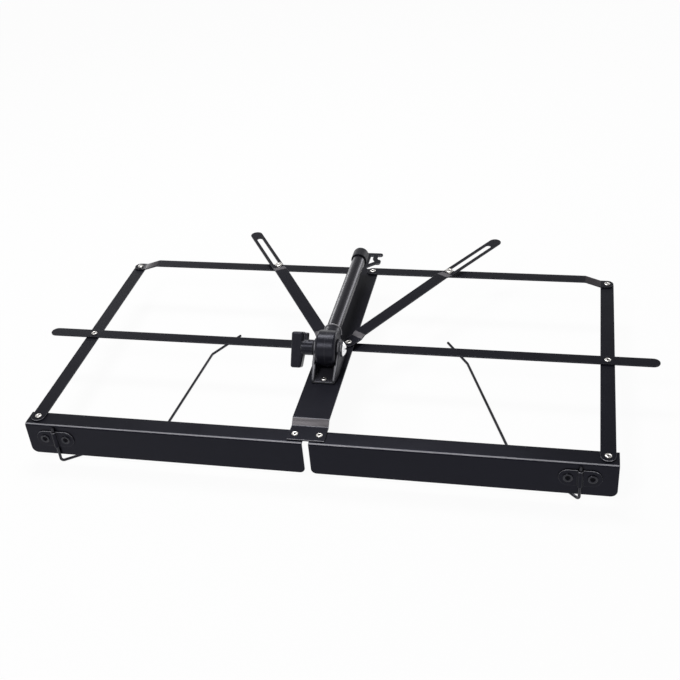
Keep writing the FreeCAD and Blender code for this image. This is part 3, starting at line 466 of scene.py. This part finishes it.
def only(piece):
    """Leaves one object selected and active."""
    bpy.ops.object.select_all(action="DESELECT")
    piece.select_set(True)
    bpy.context.view_layer.objects.active = piece


def cad_copy(node, name):
    """A copy of a CAD node with its triangles merged into faces."""
    piece = bpy.data.objects.new(name, frame["nodes"][node].data.copy())
    bpy.context.scene.collection.objects.link(piece)
    piece.data.materials.clear()
    only(piece)
    bpy.ops.mesh.customdata_custom_splitnormals_clear()
    bpy.ops.object.mode_set(mode="EDIT")
    bpy.ops.mesh.select_all(action="SELECT")
    bpy.ops.mesh.remove_doubles(threshold=MERGE_DISTANCE)
    bpy.ops.mesh.dissolve_limited(angle_limit=math.radians(FLAT_ANGLE))
    bpy.ops.object.mode_set(mode="OBJECT")
    return piece


def round_edges(piece, width, segments=2, edge_material=MAIN_SLOT, sharper_than=38.0):
    """Rounds a piece's sharp edges and smooths what is left."""
    bevel = piece.modifiers.new("edges", "BEVEL")
    bevel.width = width
    bevel.segments = segments
    bevel.limit_method = "ANGLE"
    bevel.angle_limit = math.radians(sharper_than)
    bevel.use_clamp_overlap = False
    bevel.material = edge_material
    only(piece)
    bpy.ops.object.modifier_apply(modifier=bevel.name)
    smooth(piece)


def smooth(piece, angle=32.0):
    """Smooth shading that leaves the large faces flat."""
    only(piece)
    bpy.ops.object.shade_smooth_by_angle(angle=math.radians(angle))
    weighted = piece.modifiers.new("normals", "WEIGHTED_NORMAL")
    weighted.keep_sharp = True
    bpy.ops.object.modifier_apply(modifier=weighted.name)


def turned(name, rings, sides):
    """A closed piece turned about Z, from (radius, height) pairs from its lowest face to its highest."""
    bpy.ops.object.select_all(action="DESELECT")
    radius, height = rings[0]
    bpy.ops.mesh.primitive_circle_add(vertices=sides, radius=radius, fill_type="NGON",
                                      location=(0, 0, height))
    piece = bpy.context.object
    piece.name = name
    bpy.ops.object.transform_apply(location=True, rotation=False, scale=False)
    bpy.ops.object.mode_set(mode="EDIT")
    bpy.ops.mesh.select_all(action="SELECT")
    for next_radius, next_height in rings[1:]:
        bpy.ops.mesh.extrude_region_move(TRANSFORM_OT_translate={"value": (0, 0, next_height - height)})
        factor = next_radius / radius
        bpy.ops.transform.resize(value=(factor, factor, 1.0), center_override=(0, 0, next_height))
        radius, height = next_radius, next_height
    bpy.ops.mesh.select_all(action="SELECT")
    bpy.ops.mesh.normals_make_consistent(inside=False)
    bpy.ops.object.mode_set(mode="OBJECT")
    return piece


def settle(piece, place, turn=(0.0, 0.0, 0.0)):
    """Moves a piece to its place and keeps that place in its mesh."""
    piece.location = place
    piece.rotation_euler = turn
    only(piece)
    bpy.ops.object.transform_apply(location=True, rotation=True, scale=True)
    return piece


def join(pieces, name):
    """Joins pieces into one object."""
    bpy.ops.object.select_all(action="DESELECT")
    for piece in pieces:
        piece.select_set(True)
    bpy.context.view_layer.objects.active = pieces[0]
    bpy.ops.object.join()
    pieces[0].name = name
    return pieces[0]


def paint(piece, *finishes):
    piece.data.materials.clear()
    for finish in finishes:
        piece.data.materials.append(FINISHES[finish])


def fit(piece, body, slot, *nodes):
    """Fixes a finished piece to its body, in place of its CAD nodes."""
    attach(piece, body)
    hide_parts(*nodes)


# Pieces


class STAND_OT_sheet_metal(bpy.types.Operator):
    """Coats the ledges, bars, braces, clips and spine, with softened edges"""

    bl_idname = "stand.sheet_metal"
    bl_label = "Sheet metal"

    def execute(self, context):
        edge = context.scene.stand_sizes.sheet_edge
        for node, body in SHEET_NODES.items():
            piece = cad_copy(node, f"{node}_coated")
            # Pressed steps take a lighter coat as a painted highlight, brighter on the braces
            step = "coat_rub_highlight" if node.endswith("brace") else "coat_slope_highlight"
            paint(piece, "coat", "coat_edge_and_highlight", step, "coat_bend_highlight")
            # Rounded edges take the edge coat, partly a painted highlight
            round_edges(piece, edge, edge_material=EDGE_SLOT)
            # The ledge's bend takes the light coat as a painted highlight
            if node.endswith("ledge"):
                paint_slope_highlights(piece, BEND_HIGHLIGHT_SLOPES, BEND_HIGHLIGHT_SLOT)
            else:
                paint_slope_highlights(piece, STEP_HIGHLIGHT_SLOPES, STEP_HIGHLIGHT_SLOT)
            # Upward front edges take the light bend coat: painted highlights
            if node.endswith(HIGHLIT_FRONTS):
                paint_front_highlights(piece, BEND_HIGHLIGHT_SLOT)
            fit(piece, body, "painted_metal", node)
        return {"FINISHED"}


def paint_slope_highlights(piece, slopes, finish):
    """Gives the faces that slope between two angles from level another of the piece's finishes, a lighter
    one that paints a highlight.
    """
    flattest, steepest = (math.cos(math.radians(slope)) for slope in slopes)
    for face in piece.data.polygons:
        if face.material_index == MAIN_SLOT and steepest < face.normal.z < flattest:
            face.material_index = finish


def paint_front_highlights(piece, finish):
    """Gives the rounded edges that face up and to the front another of the piece's finishes, a light one
    that paints a highlight.
    """
    for face in piece.data.polygons:
        faces_front = face.normal.z > FRONT_TILT and face.normal.y < -FRONT_TILT
        if face.material_index == EDGE_SLOT and faces_front:
            face.material_index = finish


class STAND_OT_rivets(bpy.types.Operator):
    """Rolls the bright rivets, with a ring around an eye darkened with painted shade"""

    bl_idname = "stand.rivets"
    bl_label = "Rivets"

    def execute(self, context):
        sizes = context.scene.stand_sizes
        for node, body in RIVET_NODES.items():
            low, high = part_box(node)
            head = min(high.x - low.x, high.y - low.y) / 2
            shank = sizes.rivet_shank
            rings = rivet_foot(shank, sizes) + rivet_crown(high.z - low.z, head, shank, sizes)
            places = {(round(x, 6), round(y, 6)) for x, y in (
                (low.x + head, low.y + head), (high.x - head, high.y - head))}
            pieces = [
                rolled(f"{node}_{index}", rings, sizes, (x, y, low.z))
                for index, (x, y) in enumerate(sorted(places))
            ]
            piece = join(pieces, f"{node}_rolled")
            smooth(piece, ROLLED_ANGLE)
            fit(piece, body, "rivet_steel", node)
        for side in SIDES:
            node = f"{side}_slide_rivet"
            low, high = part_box(node)
            height = high.z - low.z
            stem = sizes.slide_stem
            rings = rivet_foot(stem, sizes) + slide_collar(height, sizes)
            rings += rivet_crown(height, (high.x - low.x) / 2, stem, sizes)
            place = ((low.x + high.x) / 2, (low.y + high.y) / 2, low.z)
            piece = rolled(f"{node}_rolled", rings, sizes, place)
            smooth(piece, ROLLED_ANGLE)
            fit(piece, f"{side}_top_bar", "rivet_steel", node)
        return {"FINISHED"}


def rolled(name, rings, sizes, place):
    """A plated rivet with painted shade in its eye, at its place."""
    piece = turned(name, rings, sizes.rivet_sides)
    paint(piece, "steel", "eye")
    paint_eye_shade(piece, sizes.rivet_eye)
    return settle(piece, place)


def rivet_foot(shank, sizes):
    """The flattened tail of a rivet and the start of its shank."""
    tail, foot = sizes.rivet_tail, sizes.rivet_foot
    rings = [(across * tail, up * foot) for across, up in RIVET_TAIL_RINGS]
    return [*rings, (shank, foot)]


def slide_collar(height, sizes):
    """The collar that carries the brace off the top bar."""
    collar, sheet = sizes.slide_collar, sizes.bar_sheet
    low = sizes.rivet_foot + sheet
    high = height - sizes.rivet_height - sheet
    soft = COLLAR_SOFTNESS * collar
    return [
        (sizes.slide_stem, low), (collar - soft, low), (collar, low + soft), (collar, high - soft),
        (collar - soft, high), (sizes.slide_stem, high),
    ]


def rivet_crown(top, head, shank, sizes):
    """The rolled head of a rivet, down to the bottom of its eye."""
    rise, eye = sizes.rivet_height, sizes.rivet_eye
    head_rings = [(across * head, top - under * rise) for across, under in RIVET_HEAD_RINGS]
    eye_rings = [(across * eye, top - under * rise) for across, under in RIVET_EYE_RINGS]
    return [(shank, top - rise), *head_rings, *eye_rings]


def paint_eye_shade(piece, eye):
    """Gives the faces inside a rivet's eye its second finish, which paints shade there."""
    top = max(corner.co.z for corner in piece.data.vertices)
    for face in piece.data.polygons:
        inside = math.hypot(face.center.x, face.center.y) < EYE_SHADE_REACH * eye
        if inside and face.center.z > top / 2 and face.normal.z > EYE_FACING:
            face.material_index = EYE_SHADE_SLOT


class STAND_OT_clip_rivets(bpy.types.Operator):
    """Rolls the black rivets that hold the wire clips"""

    bl_idname = "stand.clip_rivets"
    bl_label = "Clip rivets"

    def execute(self, context):
        sizes = context.scene.stand_sizes
        for side in SIDES:
            node = f"{side}_wire_clip_rivets"
            low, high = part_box(node)
            head = (high.z - low.z) / 2
            rings = clip_rings(high.y - low.y, head)
            pieces = []
            for x in (low.x + head, high.x - head):
                piece = turned(f"{node}_dished", rings, sizes.rivet_sides)
                # The hollow of each head takes the dull pit lacquer: painted shade
                paint(piece, "black", "pit_shade")
                paint_eye_shade(piece, CLIP_PIT * head)
                settle(piece, (x, high.y, (low.z + high.z) / 2), (QUARTER_TURN, 0, 0))
                pieces.append(piece)
            piece = join(pieces, f"{node}_dished")
            smooth(piece, ROLLED_ANGLE)
            fit(piece, f"{side}_ledge", "painted_metal", node)
        return {"FINISHED"}


def clip_rings(depth, head):
    """A flat tail, a shank and a rolled ring around a hollow middle."""
    tail, shank = CLIP_TAIL * head, CLIP_SHANK * head
    tail_rings = [(across * tail, up * MM) for across, up in CLIP_TAIL_RINGS]
    shank_rings = [(shank, CLIP_FOOT * MM), (shank, depth - CLIP_RISE * MM)]
    head_rings = [(across * head, depth - under * MM) for across, under in CLIP_HEAD_RINGS]
    return [*tail_rings, *shank_rings, *head_rings]


class STAND_OT_page_wires(bpy.types.Operator):
    """Lacquers the bent page wires"""

    bl_idname = "stand.page_wires"
    bl_label = "Page wires"

    def execute(self, context):
        for side in SIDES:
            node = f"{side}_page_wire"
            piece = cad_copy(node, f"{node}_lacquered")
            paint(piece, "wire")
            round_edges(piece, WIRE_EDGE, segments=3, sharper_than=60.0)
            fit(piece, node, "wire_black", node)
        return {"FINISHED"}


class STAND_OT_clamp(bpy.types.Operator):
    """Moulds the clamp bracket, its spacers, the tube socket and the knob"""

    bl_idname = "stand.clamp"
    bl_label = "Clamp"

    def execute(self, context):
        sizes = context.scene.stand_sizes
        for node, body, finish, edge in (
            ("clamp_bracket", "spine", "bracket", sizes.moulded_edge),
            ("tube_socket", "leg", "plastic", sizes.moulded_edge),
            ("wing_knob", "knob", "plastic", sizes.moulded_edge),
            ("spacer_washers", "spine", "plastic", WASHER_EDGE),
        ):
            piece = cad_copy(node, f"{node}_moulded")
            paint(piece, finish, "plastic_edge_and_highlight", "plastic_highlight")
            # Rounded edges take the scuffed plastic, partly a painted highlight
            round_edges(piece, edge, segments=3, edge_material=EDGE_SLOT)
            # The bracket's sloped cheeks take the light plastic as a painted highlight
            if node == "clamp_bracket":
                paint_slope_highlights(piece, CHEEK_HIGHLIGHT_SLOPES, CHEEK_HIGHLIGHT_SLOT)
            if node == "tube_socket":
                piece = join([piece, *mould_lines(sizes)], piece.name)
            fit(piece, body, "black_plastic", node)
        return {"FINISHED"}


def mould_lines(sizes):
    """The fine line that the mould leaves around the drum, in the scuffed plastic that also paints a
    highlight, and the bead on the collar's mouth, in the light plastic of a painted highlight.
    """
    low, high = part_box("tube_socket")
    tube_low, tube_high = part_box("support_tube")
    middle = (low.x + high.x) / 2
    pivot = JOINTS["leg_tilt"]
    drum = pivot.z - low.z - sizes.parting_line / 2
    level = (tube_low.z + tube_high.z) / 2
    mouth = high.y - sizes.collar_bead
    return [
        ring(drum, sizes.parting_line, (middle, pivot.y, pivot.z), (0, QUARTER_TURN, 0), "plastic_edge_and_highlight"),
        ring(sizes.collar, sizes.collar_bead, (middle, mouth, level), (QUARTER_TURN, 0, 0), "plastic_highlight"),
    ]


def ring(radius, thickness, place, turn, finish):
    """A round bead bent to a ring."""
    bpy.ops.object.select_all(action="DESELECT")
    bpy.ops.mesh.primitive_torus_add(major_segments=96, minor_segments=10, major_radius=radius,
                                     minor_radius=thickness, location=place, rotation=turn)
    piece = bpy.context.object
    bpy.ops.object.transform_apply(location=True, rotation=True, scale=True)
    paint(piece, finish)
    smooth(piece)
    return piece


class STAND_OT_leg(bpy.types.Operator):
    """Coats the support tube and fits its end cap"""

    bl_idname = "stand.leg"
    bl_label = "Leg"

    def execute(self, context):
        tube = cad_copy("support_tube", "support_tube_coated")
        paint(tube, "tube")
        round_edges(tube, FINE_EDGE)
        fit(tube, "leg", "painted_metal", "support_tube")
        cap = cad_copy("end_cap", "end_cap_moulded")
        paint(cap, "rubber")
        round_edges(cap, CAP_EDGE, segments=3, sharper_than=30.0)
        fit(cap, "leg", "cap_rubber", "end_cap")
        return {"FINISHED"}


class STAND_OT_bolt(bpy.types.Operator):
    """Plates the tilt bolt and the knob's nut, and coats the washer black"""

    bl_idname = "stand.bolt"
    bl_label = "Tilt bolt"

    def execute(self, context):
        for node, body, slot, finish in (
            ("tilt_bolt", "spine", "bolt_chrome", "chrome"),
            ("knob_washer", "spine", "painted_metal", "coat"),
            ("knob_nut", "knob", "rivet_steel", "steel"),
        ):
            piece = cad_copy(node, f"{node}_plated")
            paint(piece, finish)
            round_edges(piece, FINE_EDGE)
            fit(piece, body, slot, node)
        return {"FINISHED"}


# Stage


class STAND_OT_stage(bpy.types.Operator):
    """Adds the white floor, the studio light and the camera"""

    bl_idname = "stand.stage"
    bl_label = "Stage"

    def execute(self, context):
        stage = context.scene.stand_stage
        add_floor(stage)
        add_world(stage)
        watts = {
            "key": stage.key,
            "front": stage.front,
            "left_rim": LEFT_RIM_SHARE * stage.rims,
            "right_rim": stage.rims,
        }
        for name, (place, aim, size) in LIGHTS.items():
            add_light(name, place, aim, size, watts[name])
        lens = bpy.data.cameras.new("camera")
        lens.lens = stage.lens
        lens.sensor_width = SENSOR_WIDTH
        lens.clip_end = FARTHEST_SEEN
        camera = bpy.data.objects.new("camera", lens)
        context.scene.collection.objects.link(camera)
        camera.location = stage.camera
        camera.rotation_euler = stage.turn
        context.scene.camera = camera
        context.scene.view_settings.view_transform = "Standard"
        return {"FINISHED"}


def white_to_the_eye(finish):
    """1 for what the camera sees straight, mirrored or through glass, else 0."""
    rays = [
        finish.node("ShaderNodeLightPath", output=name)
        for name in ("Is Camera Ray", "Is Glossy Ray", "Is Transmission Ray")
    ]
    seen = rays[0]
    for ray in rays[1:]:
        seen = seen.math("MAXIMUM", seen, ray)
    return seen


def add_floor(stage):
    """A wide pale floor that stays white to the eye and keeps a faint shadow."""
    bpy.ops.object.select_all(action="DESELECT")
    bpy.ops.mesh.primitive_grid_add(x_subdivisions=2, y_subdivisions=2, size=FLOOR_SIZE, location=(0, 0, 0))
    floor = bpy.context.object
    floor.name = "floor"
    finish = Finish(bpy.data.materials.new("floor_white"))
    level = stage.floor
    pale = finish.node("ShaderNodeBsdfDiffuse", {}, {"Color": (level, level, level, 1.0)})
    glow = finish.node("ShaderNodeEmission", {}, {"Color": WHITE, "Strength": 1.0})
    factor = FLOOR_GLOW * white_to_the_eye(finish)
    mixed = finish.node("ShaderNodeMixShader", {}, {0: factor, 1: pale, 2: glow})
    finish.node("ShaderNodeOutputMaterial", {}, {"Surface": mixed})
    floor.data.materials.append(finish.owner)


def add_world(stage):
    """Even studio light, white behind the stand, and a dimmer ceiling that shows in gloss."""
    world = bpy.data.worlds.new("studio")
    bpy.context.scene.world = world
    finish = Finish(world)
    even = finish.node("ShaderNodeBackground", {}, {"Color": WHITE, "Strength": stage.ambient})
    way = finish.node("ShaderNodeTexCoord", output="Generated")
    height = finish.node("ShaderNodeSeparateXYZ", {}, {0: way}, output="Z")
    dome = finish.node("ShaderNodeMapRange", {"interpolation_type": "SMOOTHSTEP"}, {
        "Value": height,
        "From Min": WALL_TOP,
        "From Max": CEILING_START,
        "To Min": 1.0,
        "To Max": stage.ceiling,
    })
    straight = finish.node("ShaderNodeLightPath", output="Is Camera Ray")
    strength = dome.math("MAXIMUM", dome, straight)
    white = finish.node("ShaderNodeBackground", {}, {"Color": WHITE, "Strength": strength})
    mixed = finish.node("ShaderNodeMixShader", {}, {0: white_to_the_eye(finish), 1: even, 2: white})
    finish.node("ShaderNodeOutputWorld", {}, {"Surface": mixed})


def add_light(name, place, aim, size, watts):
    """A soft box of that width and height, turned to its aim and out of the camera's sight."""
    data = bpy.data.lights.new(name, "AREA")
    data.shape = "RECTANGLE"
    data.size, data.size_y = size
    data.energy = watts
    light = bpy.data.objects.new(name, data)
    bpy.context.scene.collection.objects.link(light)
    light.location = place
    light.rotation_euler = (Vector(aim) - Vector(place)).to_track_quat("-Z", "Y").to_euler()
    light.visible_camera = False


# Add-on


class STAND_PT_panel(bpy.types.Panel):
    """Lists the steps that dress the stand"""

    bl_idname = "STAND_PT_panel"
    bl_label = "Music Stand"
    bl_space_type = "VIEW_3D"
    bl_region_type = "UI"
    bl_category = "Music Stand"

    def draw(self, context):
        for step in STEPS:
            self.layout.operator(step.bl_idname)
        for group in (context.scene.stand_finishes, context.scene.stand_sizes, context.scene.stand_stage):
            box = self.layout.box()
            for name in group.__annotations__:
                box.prop(group, name)


STEPS = (
    STAND_OT_sheet_metal,
    STAND_OT_rivets,
    STAND_OT_clip_rivets,
    STAND_OT_page_wires,
    STAND_OT_clamp,
    STAND_OT_leg,
    STAND_OT_bolt,
    STAND_OT_stage,
)
GROUPS = {"stand_finishes": StandFinishes, "stand_sizes": StandSizes, "stand_stage": StandStage}


def register():
    for group in GROUPS.values():
        bpy.utils.register_class(group)
    for name, group in GROUPS.items():
        setattr(bpy.types.Scene, name, PointerProperty(type=group))
    for step in (*STEPS, STAND_PT_panel):
        bpy.utils.register_class(step)


def unregister():
    for step in reversed((*STEPS, STAND_PT_panel)):
        bpy.utils.unregister_class(step)
    for name in GROUPS:
        delattr(bpy.types.Scene, name)
    for group in reversed(list(GROUPS.values())):
        bpy.utils.unregister_class(group)


def main():
    register()
    FINISHES.update(make_finishes())
    bpy.ops.stand.sheet_metal()
    bpy.ops.stand.rivets()
    bpy.ops.stand.clip_rivets()
    bpy.ops.stand.page_wires()
    bpy.ops.stand.clamp()
    bpy.ops.stand.leg()
    bpy.ops.stand.bolt()
    bpy.ops.stand.stage()


if __name__ == "__main__":
    main()
